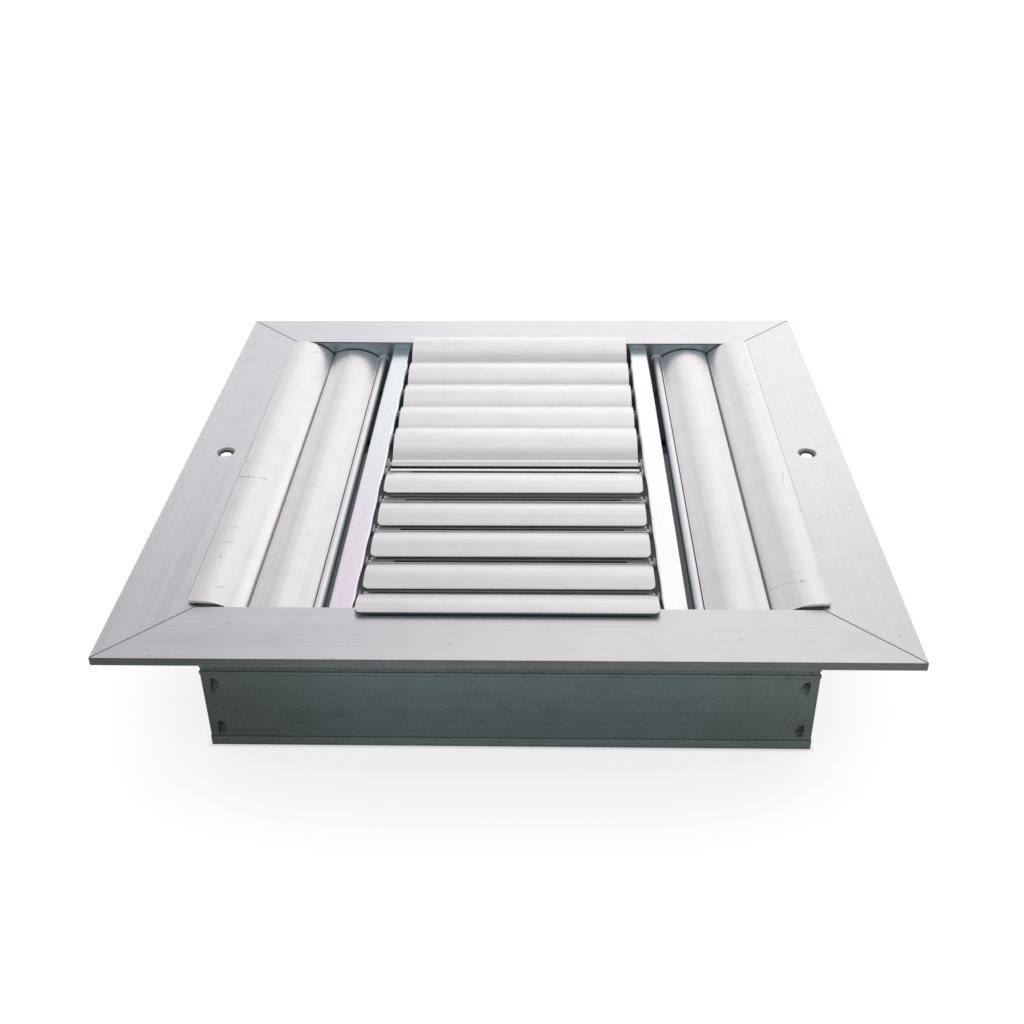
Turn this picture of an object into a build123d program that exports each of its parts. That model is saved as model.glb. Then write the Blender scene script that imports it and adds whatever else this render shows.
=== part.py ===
"""Square four-way ceiling air outlet of aluminium extrusions, lying face up on the rim of its neck.

Millimetres, Z up, X to the right and Y to the back. The origin is the centre of the neck's lower rim.
Four mitred frame members carry two divider bars. A bank of five curved blades blows to the back, another
to the front, and two blades on each side blow outwards. Each blade turns on pins in its pivot bead.
"""

import os
from math import asin, atan2, cos, degrees, hypot, radians, sin, sqrt

from build123d import *

# Frame extrusion
FACE_SIDE = 250.0  # outer side of the square flange
FLANGE_WIDTH = 24.0  # flange outside the neck that goes up into the duct
NECK_WALL = 2.0
BODY_HEIGHT = 57.0  # lower rim of the neck to the face
FLANGE_THICKNESS = 1.6
EDGE_LIP_HEIGHT = 2.9  # edge of the flange, turned down towards the ceiling
EDGE_LIP_WIDTH = 1.6
EDGE_ROUND = 0.4
RIB_DROP = 25.0  # face to the top of the rib round the neck
RIB_HEIGHT = 1.4
RIB_PROUD = 0.2
GROOVE_HEIGHT = 1.4  # shallow groove just above the rib
GROOVE_DEPTH = 0.3
BAND_HEIGHT = 3.8  # thicker band round the neck's lower rim
BAND_PROUD = 0.2
MITRE_GAP = 0.16  # open line left at each mitre

# Corner angles and the channel inside the neck that holds them
ANGLE_LEG = 24.0
ANGLE_THICKNESS = 2.0
ANGLE_ROUND = 2.0  # outer corner
CHANNEL_CLEARANCE = 0.1
CHANNEL_WALL = 1.2
CHANNEL_RETURN = 3.0  # edge that holds the angle against the neck
CHANNEL_FOOT = 1.6  # lower rim to the underside of the channel
STAKE_RADIUS = 3.3  # half height of a punched half moon
STAKE_DEPTH = 1.0
STAKE_INSET = 6.0  # from the neck's corner
STAKE_MARGIN = 4.6  # from the channel's upper and lower wall

# Holes for the ceiling screws
FIXING_OFFSET = 1.5  # from the middle of the flange towards the neck
FIXING_HOLE = 4.2
FIXING_SINK = 7.4
FIXING_SINK_ANGLE = 104.0

# Blade extrusion: an arc with a pivot bead on its inner edge
BLADES_PER_CENTRE_BANK = 5
BLADE_RADIUS = 19.0  # convex side
BLADE_THICKNESS = 1.0
BLADE_ROOT_LEAN = 49.8  # degrees from the crown of the arc back to the bead
BLADE_LAP = 1.3  # reach of a blade past the next blade's pivot
BLADE_CORNER = 2.0  # rounding of the free corners
BEAD_RADIUS = 2.1
BEAD_LIFT = 0.4  # bead centre above the convex side
BEAD_SLOT = 0.7  # open slit along the bead
BEAD_SLOT_TURN = 58.0  # degrees up round the bead from the outward direction

# Places of the blades
PIVOT_DROP = 7.8  # face to the pivot axes
CENTRE_PIVOT = 3.5  # centre line to the innermost pivots of the centre banks
CENTRE_EDGE = 15.5  # outermost centre pivot to the neck's inner face
SIDE_EDGE = 17.0  # outermost side pivot to the neck's inner face
CENTRE_END_GAP = 1.45  # blade end to the divider bar that carries it
SIDE_END_GAP = 0.8  # blade end to the neck wall that carries it
REST_GAP = 0.45  # outermost blades above the face they lie over
BACK_GAPS = (2.0, 1.1, 1.3, 2.3)  # blade tips above the next beads at rest, from the middle outwards
FRONT_GAPS = (1.8, 0.6, 0.9, 1.8)
SIDE_GAPS = (0.4,)

# Divider bars
DIVIDER_WIDTH = 8.2
DIVIDER_HEIGHT = 20.0
DIVIDER_WALL = 1.4
DIVIDER_DROP = 3.0  # face to the top of the bar
DIVIDER_ROUND = 1.0
DIVIDER_WEB = 5.0  # height of the web with the screw port
DIVIDER_FIT = 0.1  # bar end to the neck's inner face
DIVIDER_GAP = 4.5  # side of the bar to the nearest side pivot

# Pivot pins and bushes
PIN_RADIUS = 1.1
PIN_SEAT = 8.0  # length inside the bead
PIN_FIT = 0.05  # running clearance in the bush
BUSH_RADIUS = 1.9
BUSH_LENGTH = 2.0  # behind the collar
COLLAR_RADIUS = 2.4
COLLAR_THICKNESS = 0.5

# Screws that hold the divider bars
SCREW_RADIUS = 1.45
SCREW_LENGTH = 14.0
SCREW_FIT = 0.05
SCREW_HEAD_RADIUS = 2.7
SCREW_HEAD_HEIGHT = 1.9
SCREW_HEAD_ROUND = 0.8
SCREW_RECESS = (3.0, 0.7, 1.0)  # length, width and depth of each arm pair of the cross

# Sizes that follow from the above
neck_outer = FACE_SIDE / 2 - FLANGE_WIDTH
neck_inner = neck_outer - NECK_WALL
fixing_reach = neck_outer + FLANGE_WIDTH / 2 - FIXING_OFFSET
pivot_height = BODY_HEIGHT - PIVOT_DROP
channel_top = BODY_HEIGHT - RIB_DROP
channel_depth = ANGLE_THICKNESS + 2 * CHANNEL_CLEARANCE
angle_base = CHANNEL_FOOT + CHANNEL_WALL + CHANNEL_CLEARANCE
angle_top = channel_top - CHANNEL_WALL - CHANNEL_CLEARANCE
stake_heights = (angle_base + STAKE_MARGIN, angle_top - STAKE_MARGIN)

centre_edge_pivot = neck_inner - CENTRE_EDGE
blade_pitch = (centre_edge_pivot - CENTRE_PIVOT) / (BLADES_PER_CENTRE_BANK - 1)
centre_pivots = [CENTRE_PIVOT + i * blade_pitch for i in range(BLADES_PER_CENTRE_BANK)]
side_edge_pivot = neck_inner - SIDE_EDGE
side_pivots = [side_edge_pivot - blade_pitch, side_edge_pivot]

divider_outer = side_pivots[0] - DIVIDER_GAP
divider_inner = divider_outer - DIVIDER_WIDTH
divider_centre = divider_outer - DIVIDER_WIDTH / 2
divider_top = BODY_HEIGHT - DIVIDER_DROP
divider_middle = divider_top - DIVIDER_HEIGHT / 2
divider_half = neck_inner - DIVIDER_FIT

# Centre of the blade's arc, seen from the pivot: x outwards, y up
arc_x = (BLADE_RADIUS + BEAD_LIFT) * sin(radians(BLADE_ROOT_LEAN))
arc_y = -(BLADE_RADIUS + BEAD_LIFT) * cos(radians(BLADE_ROOT_LEAN))
blade_tip_lean = degrees(asin((blade_pitch + BLADE_LAP - arc_x) / BLADE_RADIUS))


def on_arc(radius, lean):
    """Point of the blade's section at a radius from the arc's centre, lean degrees outwards from its crown."""
    return (arc_x + radius * sin(radians(lean)), arc_y + radius * cos(radians(lean)))


def tilt_for(rise):
    """Tilt of a blade whose lower tip is that much higher than its pivot axis."""
    x, y = on_arc(BLADE_RADIUS - BLADE_THICKNESS, blade_tip_lean)
    return asin(rise / hypot(x, y)) - atan2(y, x)


def save(part, name):
    """Labels a finished piece and writes it to its own file."""
    part.label = name
    export_step(part, f"parts/{name}.step")


def frame_outline():
    """Corners of the frame's section: x is the distance from the outlet's axis, y the height."""
    groove_bottom = channel_top
    groove_top = groove_bottom + GROOVE_HEIGHT
    rib_bottom = channel_top - RIB_HEIGHT
    flange_under = BODY_HEIGHT - FLANGE_THICKNESS
    lip_inner = FACE_SIDE / 2 - EDGE_LIP_WIDTH
    lip_bottom = BODY_HEIGHT - EDGE_LIP_HEIGHT
    return [
        (neck_inner, 0),
        (neck_inner, BODY_HEIGHT),
        (FACE_SIDE / 2, BODY_HEIGHT),
        (FACE_SIDE / 2, lip_bottom),
        (lip_inner, lip_bottom),
        (lip_inner, flange_under),
        (neck_outer, flange_under),
        (neck_outer, groove_top),
        (neck_outer - GROOVE_DEPTH, groove_top),
        (neck_outer - GROOVE_DEPTH, groove_bottom),
        (neck_outer + RIB_PROUD, groove_bottom),
        (neck_outer + RIB_PROUD, rib_bottom),
        (neck_outer, rib_bottom),
        (neck_outer, BAND_HEIGHT),
        (neck_outer + BAND_PROUD, BAND_HEIGHT),
        (neck_outer + BAND_PROUD, 0),
    ]


def channel_wall(height, rise):
    """Adds one hooked wall of the corner channel to the section, its return going up or down by rise."""
    hook = neck_inner - channel_depth
    Polygon(
        (neck_inner, height),
        (hook - CHANNEL_WALL, height),
        (hook - CHANNEL_WALL, height + rise * (CHANNEL_WALL + CHANNEL_RETURN)),
        (hook, height + rise * (CHANNEL_WALL + CHANNEL_RETURN)),
        (hook, height + rise * CHANNEL_WALL),
        (neck_inner, height + rise * CHANNEL_WALL),
        align=None,
    )


def punch_stakes():
    """Presses the half moons into the neck's outer face that lock the corner angles in their channel."""
    ball = (STAKE_RADIUS**2 + STAKE_DEPTH**2) / (2 * STAKE_DEPTH)
    y = -neck_outer - ball + STAKE_DEPTH
    for hand in (-1, 1):
        x = hand * (neck_outer - STAKE_INSET)
        with Locations(*(Location((x, y, z), (0, 0, hand * 90)) for z in stake_heights)):
            Sphere(ball, arc_size3=180, mode=Mode.SUBTRACT)


def frame_member(name, turn, has_pivots):
    """One mitred side of the frame, drawn as the front one and turned about the outlet's axis."""
    with BuildPart() as member:
        with BuildSketch(Plane(origin=(0, 0, 0), x_dir=(0, -1, 0), z_dir=(-1, 0, 0))) as section:
            with BuildLine():
                Polyline(*frame_outline(), close=True)
            make_face()
            fillet(section.vertices().group_by(Axis.Y)[-1], EDGE_ROUND)
            channel_wall(CHANNEL_FOOT, 1)
            channel_wall(channel_top, -1)
        extrude(amount=FACE_SIDE / 2, both=True)
        for hand in (-1, 1):
            mitre = Plane(origin=(0, -MITRE_GAP / sqrt(2), 0), z_dir=(hand, 1, 0))
            split(bisect_by=mitre, keep=Keep.BOTTOM)
        punch_stakes()
        if has_pivots:
            inner_face = Plane(origin=(0, -neck_inner, 0), x_dir=(1, 0, 0), z_dir=(0, 1, 0))
            drill_neck(inner_face)
        else:
            with Locations((0, -fixing_reach, BODY_HEIGHT)):
                CounterSinkHole(FIXING_HOLE / 2, FIXING_SINK / 2, counter_sink_angle=FIXING_SINK_ANGLE)
    save(member.part.rotate(Axis.Z, turn), name)


def drill_neck(inner_face):
    """Drills the side blades' bush holes and the divider screws' holes through one neck wall."""
    depth = NECK_WALL + RIB_PROUD
    pivots = [hand * pivot for hand in (-1, 1) for pivot in side_pivots]
    with Locations(*(inner_face * Pos(x, -pivot_height, 0) for x in pivots)):
        Hole(BUSH_RADIUS, depth)
    with Locations(*(inner_face * Pos(hand * divider_centre, -divider_middle, 0) for hand in (-1, 1))):
        Hole(SCREW_RADIUS + SCREW_FIT, depth)


def corner_angle(name, turn):
    """Cut length of angle in the channel of two frame members, drawn at the front left corner."""
    outer = neck_inner - CHANNEL_CLEARANCE
    inner = outer - ANGLE_THICKNESS
    end = outer - ANGLE_LEG
    with BuildPart() as angle:
        with BuildSketch(Plane.XY.offset(angle_base)) as section:
            with BuildLine():
                Polyline(
                    (-outer, -outer),
                    (-end, -outer),
                    (-end, -inner),
                    (-inner, -inner),
                    (-inner, -end),
                    (-outer, -end),
                    close=True,
                )
            make_face()
            fillet(section.vertices().sort_by_distance((-outer, -outer, angle_base))[0], ANGLE_ROUND)
        extrude(amount=angle_top - angle_base)
    save(angle.part.rotate(Axis.Z, turn), name)


def divider(name, hand):
    """Hollow bar from front to back, with bush holes in the side that faces the centre bank."""
    cavity_width = DIVIDER_WIDTH - 2 * DIVIDER_WALL
    cavity_height = (DIVIDER_HEIGHT - 2 * DIVIDER_WALL - DIVIDER_WEB) / 2
    cavity_offset = (DIVIDER_WEB + cavity_height) / 2
    with BuildPart() as bar:
        with BuildSketch(Plane.XZ):
            with Locations((hand * divider_centre, divider_middle)):
                RectangleRounded(DIVIDER_WIDTH, DIVIDER_HEIGHT, DIVIDER_ROUND)
                Circle(SCREW_RADIUS + SCREW_FIT, mode=Mode.SUBTRACT)
            with Locations(
                (hand * divider_centre, divider_middle + cavity_offset),
                (hand * divider_centre, divider_middle - cavity_offset),
            ):
                Rectangle(cavity_width, cavity_height, mode=Mode.SUBTRACT)
        extrude(amount=divider_half, both=True)
        with Locations(*(place for place in centre_bush_places() if place.origin.X * hand > 0)):
            Hole(BUSH_RADIUS, BUSH_LENGTH)
    save(bar.part, name)


def centre_bush_places():
    """Planes on the divider bars' inner sides, one for each bush of the centre banks, facing the blade."""
    return [
        Plane(origin=(hand * divider_inner, way * pivot, pivot_height), z_dir=(-hand, 0, 0))
        for hand in (-1, 1)
        for way in (-1, 1)
        for pivot in centre_pivots
    ]


def side_bush_places():
    """Planes on the inner faces of the front and back neck walls, one for each bush of the side banks."""
    return [
        Plane(origin=(hand * pivot, way * neck_inner, pivot_height), z_dir=(0, -way, 0))
        for way in (-1, 1)
        for hand in (-1, 1)
        for pivot in side_pivots
    ]


def pivot_bushes():
    """Collared bushes for all the pivot pins, as one group."""
    places = centre_bush_places() + side_bush_places()
    with BuildPart() as bushes:
        with Locations(*places):
            Cylinder(BUSH_RADIUS, BUSH_LENGTH, align=(Align.CENTER, Align.CENTER, Align.MAX))
            Cylinder(COLLAR_RADIUS, COLLAR_THICKNESS, align=(Align.CENTER, Align.CENTER, Align.MIN))
            Cylinder(PIN_RADIUS + PIN_FIT, 2 * (BUSH_LENGTH + COLLAR_THICKNESS), mode=Mode.SUBTRACT)
    save(bushes.part, "pivot_bushes")


def divider_screws():
    """Pan-head self-tapping screws through the neck wall into the ends of the divider bars, as one group."""
    length, width, depth = SCREW_RECESS
    places = [
        Plane(origin=(hand * divider_centre, way * neck_outer, divider_middle), z_dir=(0, way, 0))
        for way in (-1, 1)
        for hand in (-1, 1)
    ]
    with BuildPart() as screws:
        with Locations(*places):
            Cylinder(SCREW_RADIUS, SCREW_LENGTH, align=(Align.CENTER, Align.CENTER, Align.MAX))
            Cylinder(SCREW_HEAD_RADIUS, SCREW_HEAD_HEIGHT, align=(Align.CENTER, Align.CENTER, Align.MIN))
        rims = screws.edges().filter_by(GeomType.CIRCLE)
        fillet([rim for rim in rims if abs(rim.center().Y) > neck_outer + SCREW_HEAD_HEIGHT / 2], SCREW_HEAD_ROUND)
        with Locations(*(place.offset(SCREW_HEAD_HEIGHT) for place in places)):
            Box(length, width, 2 * depth, mode=Mode.SUBTRACT)
            Box(width, length, 2 * depth, mode=Mode.SUBTRACT)
    save(screws.part, "divider_screws")


def blade(name, turn, pivot, tilt, half_length):
    """One curved blade with its slit pivot bead, drawn to blow to the back and turned about the axis."""
    hinge = Plane(origin=(0, pivot, pivot_height), x_dir=(0, cos(tilt), sin(tilt)), z_dir=(1, 0, 0))
    leans = (-BLADE_ROOT_LEAN, 0, blade_tip_lean)
    with BuildPart() as slat:
        with BuildSketch(hinge):
            with BuildLine():
                convex = ThreePointArc(*(on_arc(BLADE_RADIUS, lean) for lean in leans))
                concave = ThreePointArc(*(on_arc(BLADE_RADIUS - BLADE_THICKNESS, lean) for lean in leans))
                Line(convex @ 0, concave @ 0)
                Line(convex @ 1, concave @ 1)
            make_face()
            Circle(BEAD_RADIUS)
            Circle(PIN_RADIUS, mode=Mode.SUBTRACT)
            with Locations(Location((0, 0), BEAD_SLOT_TURN)):
                Rectangle(2 * BEAD_RADIUS, BEAD_SLOT, align=(Align.MIN, Align.CENTER), mode=Mode.SUBTRACT)
        extrude(amount=half_length, both=True)
        tip_middle = hinge.from_local_coords(on_arc(BLADE_RADIUS - BLADE_THICKNESS / 2, blade_tip_lean))
        tip = slat.faces().sort_by_distance(tip_middle)[0]
        fillet(tip.edges().group_by(SortBy.LENGTH)[0], BLADE_CORNER)
    save(slat.part.rotate(Axis.Z, turn), name)


def pivot_pins(name, turn, pivot, half_length, end_gap):
    """The two pins of one blade, pressed into the ends of its bead."""
    length = PIN_SEAT + end_gap + BUSH_LENGTH
    with BuildPart() as pins:
        with Locations(
            Plane(origin=(half_length - PIN_SEAT, pivot, pivot_height), z_dir=(1, 0, 0)),
            Plane(origin=(PIN_SEAT - half_length, pivot, pivot_height), z_dir=(-1, 0, 0)),
        ):
            Cylinder(PIN_RADIUS, length, align=(Align.CENTER, Align.CENTER, Align.MIN))
    save(pins.part.rotate(Axis.Z, turn), name)


def blade_bank(bank, turn, pivots, gaps, wall, end_gap):
    """All blades of one bank with their pins, from the middle outwards, the last one lying over the face."""
    half_length = wall - end_gap
    rises = [BEAD_RADIUS + gap for gap in gaps] + [PIVOT_DROP + REST_GAP]
    for number, (pivot, rise) in enumerate(zip(pivots, rises), start=1):
        blade(f"blade_{bank}_{number}", turn, pivot, tilt_for(rise), half_length)
        pivot_pins(f"pivot_pins_{bank}_{number}", turn, pivot, half_length, end_gap)


os.makedirs("parts", exist_ok=True)

frame_member("frame_front", 0, has_pivots=True)
frame_member("frame_right", 90, has_pivots=False)
frame_member("frame_back", 180, has_pivots=True)
frame_member("frame_left", 270, has_pivots=False)

corner_angle("corner_angle_front_left", 0)
corner_angle("corner_angle_front_right", 90)
corner_angle("corner_angle_back_right", 180)
corner_angle("corner_angle_back_left", 270)

divider("divider_left", -1)
divider("divider_right", 1)
divider_screws()
pivot_bushes()

blade_bank("back", 0, centre_pivots, BACK_GAPS, divider_inner, CENTRE_END_GAP)
blade_bank("left", 90, side_pivots, SIDE_GAPS, neck_inner, SIDE_END_GAP)
blade_bank("front", 180, centre_pivots, FRONT_GAPS, divider_inner, CENTRE_END_GAP)
blade_bank("right", 270, side_pivots, SIDE_GAPS, neck_inner, SIDE_END_GAP)
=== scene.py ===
"""Looks of a square four-way ceiling air outlet of bare aluminium, lying face up on a pale studio floor."""

from math import cos, radians, sin

import bpy
import numpy as np
from mathutils import Matrix

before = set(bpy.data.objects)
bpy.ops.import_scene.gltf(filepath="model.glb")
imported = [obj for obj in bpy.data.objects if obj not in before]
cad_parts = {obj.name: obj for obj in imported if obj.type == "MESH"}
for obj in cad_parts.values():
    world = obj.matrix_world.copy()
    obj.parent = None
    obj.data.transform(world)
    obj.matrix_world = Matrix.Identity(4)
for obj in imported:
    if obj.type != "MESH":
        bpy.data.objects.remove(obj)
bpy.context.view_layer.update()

# Camera of the photograph, in metres and degrees
CAMERA_PLACE = (0.0120, -0.4060, 0.2881)
CAMERA_PITCH = 32.45
CAMERA_YAW = 1.87
CAMERA_ROLL = -0.82
CAMERA_LENS_MM = 42.80
SENSOR_MM = 36.0
NEAREST_SEEN = 0.01

# Studio: patches of light by bearing from back to right, height and half width in degrees, and strength
FILL_LIGHT = 0.39
LIGHT_PATCHES = (
    (-30.0, 12.0, 22.0, 0.34),
    (-30.0, 32.0, 22.0, 0.11),
    (-12.0, 12.0, 22.0, 0.33),
    (6.0, 12.0, 22.0, 0.36),
    (6.0, 32.0, 22.0, 0.47),
    (24.0, 12.0, 22.0, 0.48),
    (42.0, 12.0, 22.0, 0.54),
    (42.0, 32.0, 22.0, 0.13),
    (0.0, 62.0, 35.0, 0.29),
    (45.0, 55.0, 35.0, 0.20),
    (90.0, 30.0, 45.0, 0.36),
    (-90.0, 30.0, 45.0, 0.33),
    (180.0, 20.0, 50.0, 0.39),
    (0.0, 90.0, 50.0, 0.16),
)
WHITE = (1.0, 1.0, 1.0)
FLOOR_SIDE = 12.0
FLOOR_COLOUR = (0.60, 0.60, 0.60)
# The low glow inside the neck is painted shade on the floor under the outlet
FLOOR_GLOW, INNER_GLOW = 0.70, 0.08  # outside the neck and inside it
FLOOR_SHADE = (0.099, 0.103)  # where the glow starts and is full, from the outlet's axis

# Edges broken by sawing and handling, in metres
FRAME_EDGE = 0.00022
BLADE_EDGE = 0.00012
SMALL_EDGE = 0.00008
EDGE_SEGMENTS = 2
WELD_GAP = 1e-6
FLAT_ANGLE, SHARP_ANGLE = 0.4, 35  # degrees: faces that count as one flat, and edges that are broken
FLAT_WEIGHT = 100  # how far the large faces rule the shading of the edges

# Die lines: length and width of a streak in metres, its share of the whole, and the noise values it spans
BROAD_STREAK, BROAD_SHARE = (0.30, 0.0016), 0.6
FINE_STREAK, FINE_SHARE = (0.12, 0.0004), 0.4
STREAK_NOISE, NOISE = (0.35, 0.65), (0.3, 0.7)
RELIEF, RELIEF_HEIGHT = 0.25, 0.00002
SATIN_ROUGHNESS, BAR_ROUGHNESS = (0.29, 0.37), (0.25, 0.29)

# Frame: linear colours of its face, and painted shade that multiplies them by the place from front to back
FRAME_LIGHT, FRAME_DARK = (0.808, 0.786, 0.806), (0.767, 0.745, 0.765)
FRAME_FRONT_SHADE = ((-0.120, 0.000), (0.93, 1.05))
# Painted cool cast of light on the left of the face
LEFT_COOL_LIGHT, LEFT_FADE = (0.970, 0.990, 1.025), (-0.115, 0.030)  # cooler face on the left
FACE_UP = (0.65, 0.93)  # how far up the face points, against its edges and the neck

# Dished holes in the left and right flange, in metres, and the painted shade down them
SINK_PLACE, SINK_RADII = 0.1115, (0.0037, 0.0034)
SINK_TOP, SINK_HEIGHTS = (0.05692, 0.05680), (0.0557, 0.0567)
SINK_RIM_SHADE, SINK_FOOT_SHADE = (0.34, 0.35, 0.34), (0.02, 0.022, 0.02)

# Neck in metres: its outside with the recesses, its inside, and its tone by height from the lower rim; its
# dark greys are painted shade
NECK_MIDDLE_SHADE, NECK_END_SHADE, NECK_ENDS = (0.096, 0.124, 0.128), (0.099, 0.120, 0.112), (0.045, 0.098)
# Painted shade darker towards the lower rim and the left end, and painted light on the band round the rim
NECK_HEIGHT_SHADE = ((0.004, 0.046), (0.81, 1.16))
NECK_LEFT_SHADE = ((-0.100, -0.030), (0.66, 1.0))  # darker towards its left end
BAND_TOP, BAND_PAINTED_LIGHT = (0.0036, 0.0040), 1.25
LIP_SHADE, LIP_BOTTOM = (0.097, 0.103, 0.105), (0.0530, 0.0540)
RECESS_OUTER, RECESS_INNER = (0.1009, 0.1004), (0.0994, 0.0996)
NECK_INSIDE_SHADE, INSIDE = (0.27, 0.33, 0.36), (0.0993, 0.0991)
SPECKLE_SIZE, SPECKLE_TONES = 0.0005, (0.84, 1.16)
NECK_STREAK_TONES = (0.93, 1.07)
# Near-black of the scuffs, and the darkening in the neck's recesses by its patch size, noise and depths
SCUFF_AND_RECESS_DARK, RECESS_DARK_SIZE = (0.012, 0.014, 0.014), 0.0012
RECESS_DARK_NOISE, RECESS_DARK_DEPTHS = (0.35, 0.65), (0.25, 0.85)

# Blades: colours of their satin skin and of their edges and sideways faces, where the dark of the centre
# blades is painted shade, and how far up each of them points
BLADE_LIGHT, BLADE_DARK = (0.912, 0.886, 0.905), (0.853, 0.827, 0.846)
# Painted shade on the blades, darker towards the front
CENTRE_FRONT_SHADE = ((-0.100, 0.040), (0.885, 1.08))
SIDE_FRONT_SHADE = ((-0.090, 0.000), (0.97, 1.00))
CENTRE_EDGE_SHADE, SIDE_RAW = (0.11, 0.14, 0.165), (0.86, 0.84, 0.86)
EDGE_STREAK_TONES = (0.85, 1.0)
# Painted shade on the blades' undersides
UNDERSIDE_SHADE = 0.80
BLADE_UP, BLADE_DOWN = (0.15, 0.50), (-0.40, -0.62)

# Divider bars: painted reflection tints at both ends of their tops, and the painted shade of their sides
LEFT_BAR_FRONT_REFLECTION, LEFT_BAR_BACK_REFLECTION = (0.95, 0.85, 0.95), (0.91, 0.96, 1.00)
RIGHT_BAR_FRONT_REFLECTION, RIGHT_BAR_BACK_REFLECTION = (1.0, 0.99, 0.99), (0.99, 0.99, 0.99)
BAR_FADE = (-0.090, 0.050)
BAR_TONES = (0.97, 1.0)
BAR_SIDE_SHADE, BAR_UP = (0.40, 0.47, 0.52), (0.3, 0.7)

# Small pieces: light and dark of the mottle, how metallic, and roughness
ANGLE_ALUMINIUM = ((0.62, 0.63, 0.64), (0.45, 0.46, 0.47), 1.0, 0.45)
PIN_STEEL = ((0.72, 0.72, 0.72), (0.60, 0.60, 0.60), 1.0, 0.30)
SCREW_STEEL = ((0.70, 0.70, 0.68), (0.55, 0.56, 0.55), 1.0, 0.35)
BUSH_NYLON = ((0.85, 0.85, 0.83), (0.78, 0.78, 0.76), 0.0, 0.45)
MOTTLE_SIZE, MOTTLE_DETAIL = 0.0012, 4.0
ROUGHNESS_SWING = 0.06

# Wear: depth of the smudges, and scuffs by start, end and half width in millimetres, and how dark
FRAME_SMUDGE, BLADE_SMUDGE, NECK_SMUDGE = 0.03, 0.04, 0.09
SMUDGE_SIZE, SMUDGE_DETAIL, SMUDGE_NOISE = 0.009, 6.0, (0.42, 0.72)
SCUFF_GRAIN, SCUFF_NOISE, SCUFF_COVER = 0.0006, (0.35, 0.60), (0.15, 1.0)
SCUFF_CORE = 0.25  # share of the half width that is at full depth
MILLIMETRE = 0.001
LEFT_BLADE_SCUFFS = (
    (-101, -21.7, -95.9, -21.4, 0.68, 0.48),
    (-93.4, -21.2, -91.4, -20.6, 0.60, 0.48),
    (-100.6, -23.9, -89.8, -25.1, 0.33, 0.18),
    (-97.3, -55.5, -94.7, -54.9, 0.60, 0.33),
    (-96.9, -64.8, -94.7, -64.2, 0.60, 0.29),
    (-96.7, -73.2, -96.3, -73.6, 0.75, 0.33),
    (-94.2, -90.1, -92.5, -89.3, 0.60, 0.33),
    (-89, -53.2, -86.4, -56.7, 0.38, 0.14),
    (-92.6, 89, -90.7, 90.7, 0.68, 0.33),
    (-86.9, 85.4, -86.5, 85.2, 0.75, 0.29),
    (-89.7, 65.5, -86.7, 69.7, 0.45, 0.25),
    (-102.6, 36, -102.2, 12, 0.68, 0.29),
    (-101.8, 6, -101.9, -9, 0.68, 0.25),
    (-101.2, -10.1, -100, -10.8, 0.55, 0.42),
)
INNER_BLADE_SCUFFS = (
    (-64.9, -28.3, -64.7, -28.4, 0.60, 0.42),
    (-71.1, -50, -71.1, -53.2, 0.38, 0.22),
    (-67, 16.6, -66.8, 16.4, 0.50, 0.36),
)
RIGHT_BLADE_SCUFFS = (
    (85.2, -83, 94.4, -85.9, 0.38, 0.36),
    (94.5, -85.3, 94.8, -85.4, 0.83, 0.48),
    (91.1, -79.8, 94.1, -80.2, 0.38, 0.16),
    (91.8, -59.1, 96, -57.1, 0.38, 0.16),
    (88.8, 5, 94.2, 9.6, 0.38, 0.16),
    (99.2, -18.7, 98.3, -24.5, 0.38, 0.25),
    (99.2, 80.4, 98.2, 73.4, 0.38, 0.25),
    (96.2, 55.4, 96.5, 54.4, 0.68, 0.25),
)
SIDE_FRAME_SCUFFS = (
    (-123.1, 10, -122.3, 8.4, 0.45, 0.33),
    (118.4, 69.9, 118.8, 69.9, 0.60, 0.29),
    (123, 71.9, 123.4, 71.9, 0.52, 0.29),
    (108.3, -45.4, 108.6, -45.3, 0.60, 0.29),
    (120.2, -36.4, 120.3, -36.7, 0.60, 0.45),
    (119.1, -41.4, 119.4, -41.4, 0.55, 0.42),
    (119.5, -112, 119.7, -112.3, 0.50, 0.42),
)
FRONT_FRAME_SCUFFS = (
    (-87.3, -108.6, -86.7, -107, 0.38, 0.29),
    (71.3, -114, 71.6, -114.2, 0.50, 0.48),
    (-16.8, -117.1, -16.5, -117.2, 0.55, 0.52),
    (-106.8, -123.9, -106.6, -123.4, 0.45, 0.45),
    (-52.5, -124.3, -51.2, -124.5, 0.45, 0.45),
)


def node(tree, kind, inputs=None, **settings):
    """Adds a node with its settings, and wires or sets its inputs by name or number."""
    made = tree.nodes.new(kind)
    for key, value in settings.items():
        setattr(made, key, value)
    for key, value in (inputs or {}).items():
        feed(tree, made.inputs[key], value)
    return made


def feed(tree, socket, value):
    """Wires an output into a socket, or sets the socket to a plain value."""
    if isinstance(value, bpy.types.NodeSocket):
        tree.links.new(value, socket)
    else:
        socket.default_value = value


def calculate(tree, operation, *values):
    """Result of one arithmetic step on sockets or numbers."""
    return node(tree, "ShaderNodeMath", dict(enumerate(values)), operation=operation).outputs[0]


def on_vectors(tree, operation, *vectors):
    """Outputs of one step on vectors: a vector, or a number under Value."""
    return node(tree, "ShaderNodeVectorMath", dict(enumerate(vectors)), operation=operation).outputs


def spread(tree, value, low, high, to_low=0.0, to_high=1.0):
    """Value carried smoothly from low..high to to_low..to_high."""
    inputs = {"Value": value, "From Min": low, "From Max": high, "To Min": to_low, "To Max": to_high}
    return node(tree, "ShaderNodeMapRange", inputs, interpolation_type="SMOOTHSTEP").outputs[0]


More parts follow.
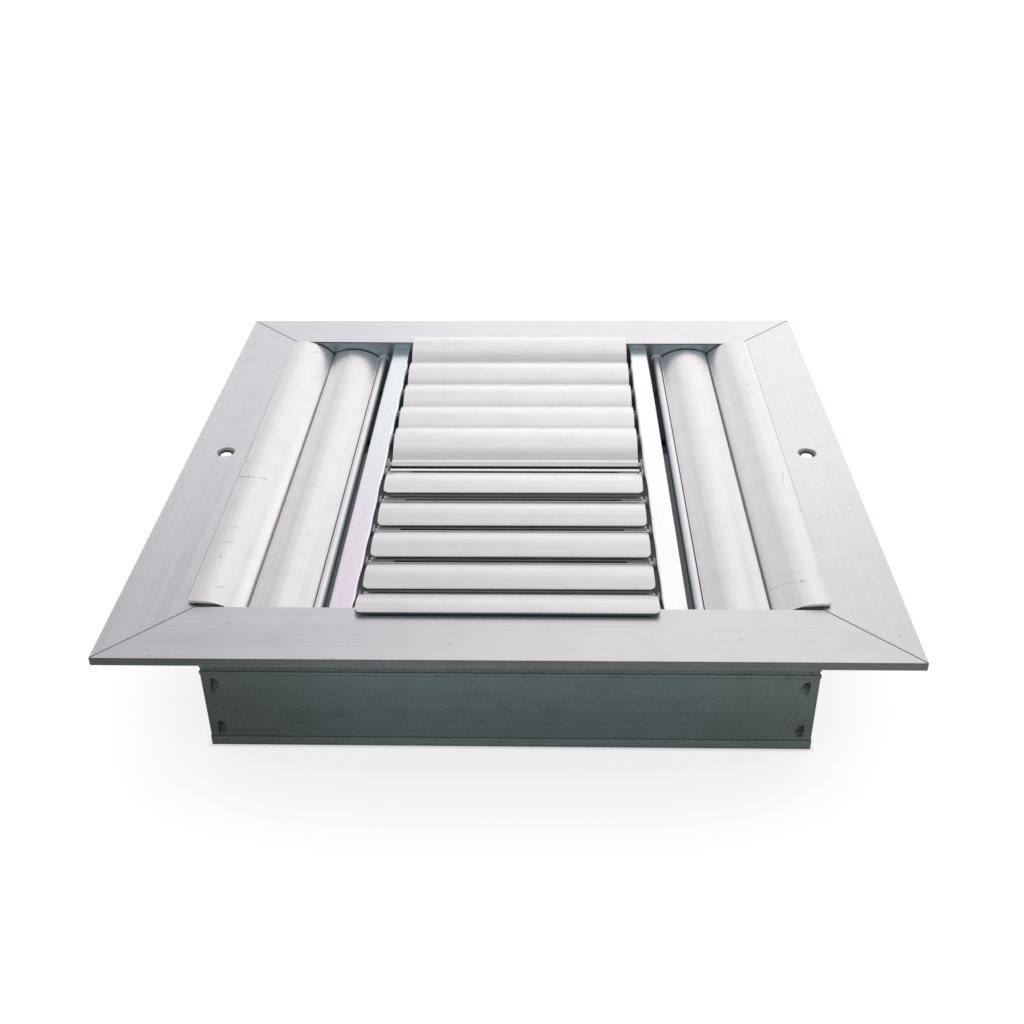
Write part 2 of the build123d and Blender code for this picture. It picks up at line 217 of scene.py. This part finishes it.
def between(tree, share, first, second):
    """Colour that goes from the first to the second with the share."""
    inputs = {0: share, 6: first, 7: second}
    return node(tree, "ShaderNodeMix", inputs, data_type="RGBA").outputs[2]


def opaque(colour):
    """Colour with full alpha."""
    return (*colour, 1.0)


def shaded(tree, colour, tone):
    """Colour made lighter or darker by a tone, or a run made longer or shorter."""
    return node(tree, "ShaderNodeVectorMath", {0: colour, "Scale": tone}, operation="SCALE").outputs[0]


def blank(name):
    """New material, its node tree and its shader."""
    material = bpy.data.materials.new(name)
    material.use_nodes = True
    tree = material.node_tree
    return material, tree, tree.nodes["Principled BSDF"]


def place_on(tree):
    """Place on the piece, in metres."""
    return node(tree, "ShaderNodeTexCoord").outputs["Object"]


def parts_of(tree, vector):
    """The three parts of a vector."""
    return node(tree, "ShaderNodeSeparateXYZ", {0: vector}).outputs


def from_axis(tree):
    """Distance from the outlet's axis, measured square to the nearest side."""
    sides = parts_of(tree, on_vectors(tree, "ABSOLUTE", place_on(tree))[0])
    return calculate(tree, "MAXIMUM", sides[0], sides[1])


def facing_up(tree):
    """How far a surface faces up, from 1 on top to -1 below."""
    return parts_of(tree, node(tree, "ShaderNodeTexCoord").outputs["Normal"])[2]


def grain(tree, along, length, width, detail=2.0):
    """Noise drawn out along one axis of the piece, in marks of about that length and width in metres."""
    scale = [1 / width] * 3
    scale["xyz".index(along)] = 1 / length
    drawn = node(tree, "ShaderNodeMapping", {"Vector": place_on(tree), "Scale": scale}).outputs[0]
    return node(tree, "ShaderNodeTexNoise", {"Vector": drawn, "Scale": 1.0, "Detail": detail}).outputs[0]


def mottle(tree, size, detail=2.0):
    """Noise in round spots of about that size in metres."""
    return grain(tree, "x", size, size, detail)


def die_lines(tree, along):
    """Streaks that the extrusion die leaves along a length, and the fine ones among them."""
    broad = grain(tree, along, *BROAD_STREAK)
    fine = grain(tree, along, *FINE_STREAK)
    coarse = calculate(tree, "MULTIPLY", broad, BROAD_SHARE)
    return calculate(tree, "MULTIPLY_ADD", fine, FINE_SHARE, coarse), fine


def mark_along(tree, flat, mark):
    """Soft mark along a short line on the face: its depth on the line, and 0 beyond its half width."""
    x0, y0, x1, y1, half_width, depth = mark
    start = (x0 * MILLIMETRE, y0 * MILLIMETRE, 0.0)
    run = ((x1 - x0) * MILLIMETRE, (y1 - y0) * MILLIMETRE, 0.0)
    per_square = 1 / (run[0] ** 2 + run[1] ** 2)
    off = on_vectors(tree, "SUBTRACT", flat, start)[0]
    along = on_vectors(tree, "DOT_PRODUCT", off, run)["Value"]
    inputs = {0: along, 1: per_square}
    share = node(tree, "ShaderNodeMath", inputs, operation="MULTIPLY", use_clamp=True).outputs[0]
    distance = on_vectors(tree, "DISTANCE", off, shaded(tree, run, share))["Value"]
    reach = half_width * MILLIMETRE
    return spread(tree, distance, reach, reach * SCUFF_CORE, 0.0, depth)


def scuffed(tree, colour, marks):
    """Colour with dark marks on the face, broken up by fine noise."""
    if not marks:
        return colour
    flat = on_vectors(tree, "MULTIPLY", place_on(tree), (1.0, 1.0, 0.0))[0]
    depth = 0.0
    for mark in marks:
        depth = calculate(tree, "MAXIMUM", depth, mark_along(tree, flat, mark))
    cover = spread(tree, mottle(tree, SCUFF_GRAIN), *SCUFF_NOISE, *SCUFF_COVER)
    return between(tree, calculate(tree, "MULTIPLY", depth, cover), colour, opaque(SCUFF_AND_RECESS_DARK))


def smudged(tree, colour, depth):
    """Colour dulled in cloudy patches by handling."""
    cloud = mottle(tree, SMUDGE_SIZE, SMUDGE_DETAIL)
    return shaded(tree, colour, spread(tree, cloud, *SMUDGE_NOISE, 1.0, 1.0 - depth))


def neck_light_and_shade(tree):
    """Painted light and shade on the neck: lighter towards the flange and on the band round its rim, darker
    to the left.
    """
    across, _, height = parts_of(tree, place_on(tree))
    rise = spread(tree, height, *NECK_HEIGHT_SHADE[0], *NECK_HEIGHT_SHADE[1])
    band = spread(tree, height, *BAND_TOP, BAND_PAINTED_LIGHT, 1.0)
    left = spread(tree, across, *NECK_LEFT_SHADE[0], *NECK_LEFT_SHADE[1])
    return calculate(tree, "MULTIPLY", calculate(tree, "MULTIPLY", rise, band), left)


def neck_outside_shade(tree, tone):
    """Painted shade of the neck's outside and of the lip, a dark grey, with the tone of the speckle and the
    streaks.
    """
    across, _, height = parts_of(tree, place_on(tree))
    ends = spread(tree, calculate(tree, "ABSOLUTE", across), *NECK_ENDS)
    colour = between(tree, ends, opaque(NECK_MIDDLE_SHADE), opaque(NECK_END_SHADE))
    colour = between(tree, spread(tree, height, *LIP_BOTTOM), colour, opaque(LIP_SHADE))
    dulled = smudged(tree, colour, NECK_SMUDGE)
    return shaded(tree, dulled, calculate(tree, "MULTIPLY", tone, neck_light_and_shade(tree)))


def neck_painted_shade(tree, streak):
    """Painted shade of the neck as a dark grey, with fine speckle, darkened further in the recesses of its
    outside.
    """
    speckle = spread(tree, mottle(tree, SPECKLE_SIZE), *NOISE, *SPECKLE_TONES)
    tone = calculate(tree, "MULTIPLY", speckle, spread(tree, streak, *NOISE, *NECK_STREAK_TONES))
    reach = from_axis(tree)
    below_skin = spread(tree, reach, *RECESS_OUTER)
    deep = calculate(tree, "MULTIPLY", below_skin, spread(tree, reach, *RECESS_INNER))
    patchy = spread(tree, mottle(tree, RECESS_DARK_SIZE), *RECESS_DARK_NOISE, *RECESS_DARK_DEPTHS)
    recess_dark = calculate(tree, "MULTIPLY", deep, patchy)
    outside = between(tree, recess_dark, neck_outside_shade(tree, tone), opaque(SCUFF_AND_RECESS_DARK))
    return between(tree, spread(tree, reach, *INSIDE), outside, shaded(tree, NECK_INSIDE_SHADE, tone))


def in_sinks(tree):
    """1 inside the dished holes of the left and right flange, 0 elsewhere."""
    x, y, z = parts_of(tree, place_on(tree))
    off = calculate(tree, "SUBTRACT", calculate(tree, "ABSOLUTE", x), SINK_PLACE)
    square = calculate(tree, "MULTIPLY_ADD", off, off, calculate(tree, "MULTIPLY", y, y))
    near = spread(tree, calculate(tree, "SQRT", square), *SINK_RADII)
    return calculate(tree, "MULTIPLY", near, spread(tree, z, *SINK_TOP))


def sink_painted_shade(tree):
    """Painted shade down a dished hole, from its grey rim to its dark foot."""
    height = parts_of(tree, place_on(tree))[2]
    return between(tree, spread(tree, height, *SINK_HEIGHTS), opaque(SINK_FOOT_SHADE), opaque(SINK_RIM_SHADE))


def front_shaded(tree, colour, shade_tones):
    """Colour with painted shade that grows lighter from the front to the back."""
    return shaded(tree, colour, spread(tree, parts_of(tree, place_on(tree))[1], *shade_tones[0], *shade_tones[1]))


def light_cooled(tree, colour):
    """Colour with a painted cool cast of light towards the left."""
    cool_cast = on_vectors(tree, "MULTIPLY", colour, LEFT_COOL_LIGHT)[0]
    return between(tree, spread(tree, parts_of(tree, place_on(tree))[0], *LEFT_FADE), cool_cast, colour)


def finish_metal(tree, shader, streak, fine, roughness, relief):
    """Metal with its roughness uneven along the die lines, which stand in slight relief."""
    feed(tree, shader.inputs["Roughness"], spread(tree, streak, *NOISE, *roughness))
    shader.inputs["Metallic"].default_value = 1.0
    bump = node(tree, "ShaderNodeBump", {"Height": fine, "Strength": relief, "Distance": RELIEF_HEIGHT})
    feed(tree, shader.inputs["Normal"], bump.outputs[0])


def frame_finish(name, along, marks=()):
    """Satin face of a frame member, with painted shade as a dark grey on its neck, its edges and its
    inside.
    """
    material, tree, shader = blank(name)
    streak, fine = die_lines(tree, along)
    satin = between(tree, spread(tree, streak, *STREAK_NOISE), opaque(FRAME_DARK), opaque(FRAME_LIGHT))
    satin = front_shaded(tree, light_cooled(tree, satin), FRAME_FRONT_SHADE)
    worn = scuffed(tree, smudged(tree, satin, FRAME_SMUDGE), marks)
    # Faces that do not point up take the neck's painted shade, and only the faces that point up keep the
    # satin
    face = spread(tree, facing_up(tree), *FACE_UP)
    colour = between(tree, face, neck_painted_shade(tree, streak), worn)
    feed(tree, shader.inputs["Base Color"], between(tree, in_sinks(tree), colour, sink_painted_shade(tree)))
    finish_metal(tree, shader, streak, fine, SATIN_ROUGHNESS, RELIEF)
    return material


def blade_finish(name, along, edge_colour, shade_tones, marks=()):
    """Satin aluminium of a blade, with its edges and sideways faces in the colour given, and a slightly
    darker underside as painted shade.
    """
    material, tree, shader = blank(name)
    streak, fine = die_lines(tree, along)
    satin = between(tree, spread(tree, streak, *STREAK_NOISE), opaque(BLADE_DARK), opaque(BLADE_LIGHT))
    # For the centre blades the colour of the edges and sideways faces is painted shade
    edge_band = shaded(tree, edge_colour, spread(tree, streak, *STREAK_NOISE, *EDGE_STREAK_TONES))
    upward = facing_up(tree)
    below = between(tree, spread(tree, upward, *BLADE_DOWN), edge_band, shaded(tree, satin, UNDERSIDE_SHADE))
    worn = scuffed(tree, smudged(tree, front_shaded(tree, satin, shade_tones), BLADE_SMUDGE), marks)
    feed(tree, shader.inputs["Base Color"], between(tree, spread(tree, upward, *BLADE_UP), below, worn))
    finish_metal(tree, shader, streak, fine, SATIN_ROUGHNESS, RELIEF)
    return material


def divider_finish(name, front, back):
    """Smooth aluminium of a divider bar, with a slight painted reflection tint from its front end to its
    back end, and its sides in painted shade.
    """
    material, tree, shader = blank(name)
    streak, fine = die_lines(tree, "y")
    along = spread(tree, parts_of(tree, place_on(tree))[1], *BAR_FADE)
    reflection_tinted = between(tree, along, opaque(front), opaque(back))
    satin = shaded(tree, reflection_tinted, spread(tree, streak, *STREAK_NOISE, *BAR_TONES))
    # Sides that do not face up take a painted shade
    top = spread(tree, facing_up(tree), *BAR_UP)
    feed(tree, shader.inputs["Base Color"], between(tree, top, opaque(BAR_SIDE_SHADE), satin))
    finish_metal(tree, shader, streak, fine, BAR_ROUGHNESS, 0.0)
    return material


def small_finish(name, light, dark, metallic, roughness):
    """Mottled finish of a small piece: steel, nylon or mill aluminium."""
    material, tree, shader = blank(name)
    spots = mottle(tree, MOTTLE_SIZE, MOTTLE_DETAIL)
    colour = between(tree, spread(tree, spots, *NOISE), opaque(dark), opaque(light))
    feed(tree, shader.inputs["Base Color"], colour)
    limits = (roughness - ROUGHNESS_SWING, roughness + ROUGHNESS_SWING)
    feed(tree, shader.inputs["Roughness"], spread(tree, spots, *NOISE, *limits))
    shader.inputs["Metallic"].default_value = metallic
    return material


def break_edges(piece, width):
    """Joins a solid's loose triangles and breaks its sharp edges by that width."""
    piece.modifiers.new("joined", "WELD").merge_threshold = WELD_GAP
    flats = piece.modifiers.new("flats", "DECIMATE")
    flats.decimate_type = "DISSOLVE"
    flats.angle_limit = radians(FLAT_ANGLE)
    edges = piece.modifiers.new("edges", "BEVEL")
    edges.width = width
    edges.segments = EDGE_SEGMENTS
    edges.limit_method = "ANGLE"
    edges.angle_limit = radians(SHARP_ANGLE)
    edges.use_clamp_overlap = False
    piece.modifiers.new("shade", "WEIGHTED_NORMAL").weight = FLAT_WEIGHT


def dress(names, material, edge):
    """Gives CAD nodes their finish and broken edges."""
    for name in names:
        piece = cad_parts[name]
        piece.data.materials.clear()
        piece.data.materials.append(material)
        break_edges(piece, edge)


def nodes_named(start):
    """Names of the CAD nodes that start that way."""
    return [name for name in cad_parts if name.startswith(start)]


def camera_axes():
    """Right, up and back directions of the camera, from its pitch below level, its yaw and its roll."""
    p, y, r = radians(CAMERA_PITCH), radians(CAMERA_YAW), radians(CAMERA_ROLL)
    level = np.array([[1, 0, 0], [0, -sin(p), -cos(p)], [0, cos(p), -sin(p)]])
    turn = np.array([[cos(y), sin(y), 0], [-sin(y), cos(y), 0], [0, 0, 1]])
    spin = np.array([[cos(r), -sin(r), 0], [sin(r), cos(r), 0], [0, 0, 1]])
    right, down, ahead = spin @ level @ turn
    return right, -down, -ahead


def add_camera():
    """Places the camera where the photograph was taken from."""
    data = bpy.data.cameras.new("photo_camera")
    data.lens = CAMERA_LENS_MM
    data.sensor_width = SENSOR_MM
    data.clip_start = NEAREST_SEEN
    camera = bpy.data.objects.new("photo_camera", data)
    camera.matrix_world = Matrix.Translation(CAMERA_PLACE) @ Matrix(camera_axes()).transposed().to_4x4()
    bpy.context.scene.collection.objects.link(camera)
    bpy.context.scene.camera = camera


def floor_finish():
    """White that glows where it is seen or mirrored, far less inside the neck as painted shade, and keeps
    the shadow.
    """
    material, tree, shader = blank("studio_floor")
    shader.inputs["Base Color"].default_value = opaque(FLOOR_COLOUR)
    shader.inputs["Roughness"].default_value = 1.0
    shader.inputs["Specular IOR Level"].default_value = 0.0
    shader.inputs["Emission Color"].default_value = opaque(WHITE)
    path = node(tree, "ShaderNodeLightPath").outputs
    seen = calculate(tree, "MAXIMUM", path["Is Camera Ray"], path["Is Glossy Ray"])
    seen = calculate(tree, "MAXIMUM", seen, path["Is Transmission Ray"])
    glow = spread(tree, from_axis(tree), *FLOOR_SHADE, INNER_GLOW, FLOOR_GLOW)
    feed(tree, shader.inputs["Emission Strength"], calculate(tree, "MULTIPLY", seen, glow))
    return material


def add_floor():
    """Pale floor that shows white and keeps the outlet's soft shadow."""
    half = FLOOR_SIDE / 2
    corners = [(-half, -half, 0), (half, -half, 0), (half, half, 0), (-half, half, 0)]
    mesh = bpy.data.meshes.new("studio_floor")
    mesh.from_pydata(corners, [], [(0, 1, 2, 3)])
    mesh.materials.append(floor_finish())
    floor = bpy.data.objects.new("studio_floor", mesh)
    bpy.context.scene.collection.objects.link(floor)


def add_light():
    """Soft light from all round: a fill, with smooth patches that are brightest at their middles."""
    world = bpy.data.worlds.new("studio")
    world.use_nodes = True
    tree = world.node_tree
    towards = node(tree, "ShaderNodeTexCoord").outputs["Generated"]
    total = FILL_LIGHT
    for bearing, height, half_width, strength in LIGHT_PATCHES:
        b, h = radians(bearing), radians(height)
        middle = (sin(b) * cos(h), cos(b) * cos(h), sin(h))
        nearness = on_vectors(tree, "DOT_PRODUCT", towards, middle)["Value"]
        patch = spread(tree, nearness, cos(radians(half_width)), 1.0, 0.0, strength)
        total = calculate(tree, "ADD", total, patch)
    feed(tree, tree.nodes["Background"].inputs["Strength"], total)
    tree.nodes["Background"].inputs["Color"].default_value = opaque(WHITE)
    bpy.context.scene.world = world


def dress_frame():
    """Finishes of the four frame members and the angles in their corners."""
    dress(["frame_front"], frame_finish("front_frame", "x", FRONT_FRAME_SCUFFS), FRAME_EDGE)
    dress(["frame_back"], frame_finish("back_frame", "x"), FRAME_EDGE)
    dress(["frame_left", "frame_right"], frame_finish("side_frames", "y", SIDE_FRAME_SCUFFS), FRAME_EDGE)
    dress(nodes_named("corner_angle"), small_finish("angle_aluminium", *ANGLE_ALUMINIUM), BLADE_EDGE)


def dress_blades():
    """Finishes of the centre blades, which run along x, and the side blades, which run along y."""
    centre = nodes_named("blade_back") + nodes_named("blade_front")
    dress(centre, blade_finish("centre_blades", "x", CENTRE_EDGE_SHADE, CENTRE_FRONT_SHADE), BLADE_EDGE)
    side_blades = (
        (["blade_left_1", "blade_right_1"], "inner_side_blades", INNER_BLADE_SCUFFS),
        (["blade_left_2"], "outer_left_blade", LEFT_BLADE_SCUFFS),
        (["blade_right_2"], "outer_right_blade", RIGHT_BLADE_SCUFFS),
    )
    for names, finish, scuffs in side_blades:
        dress(names, blade_finish(finish, "y", SIDE_RAW, SIDE_FRONT_SHADE, scuffs), BLADE_EDGE)


def dress_dividers():
    """Finishes of the divider bars, with their screws and the blades' pins and bushes."""
    dress(["divider_left"], divider_finish("left_divider", LEFT_BAR_FRONT_REFLECTION, LEFT_BAR_BACK_REFLECTION), BLADE_EDGE)
    dress(["divider_right"], divider_finish("right_divider", RIGHT_BAR_FRONT_REFLECTION, RIGHT_BAR_BACK_REFLECTION), BLADE_EDGE)
    dress(["divider_screws"], small_finish("screw_steel", *SCREW_STEEL), SMALL_EDGE)
    dress(nodes_named("pivot_pins"), small_finish("pin_steel", *PIN_STEEL), SMALL_EDGE)
    dress(["pivot_bushes"], small_finish("bush_nylon", *BUSH_NYLON), SMALL_EDGE)


add_camera()
add_floor()
add_light()
bpy.context.scene.view_settings.view_transform = "Standard"
dress_frame()
dress_blades()
dress_dividers()
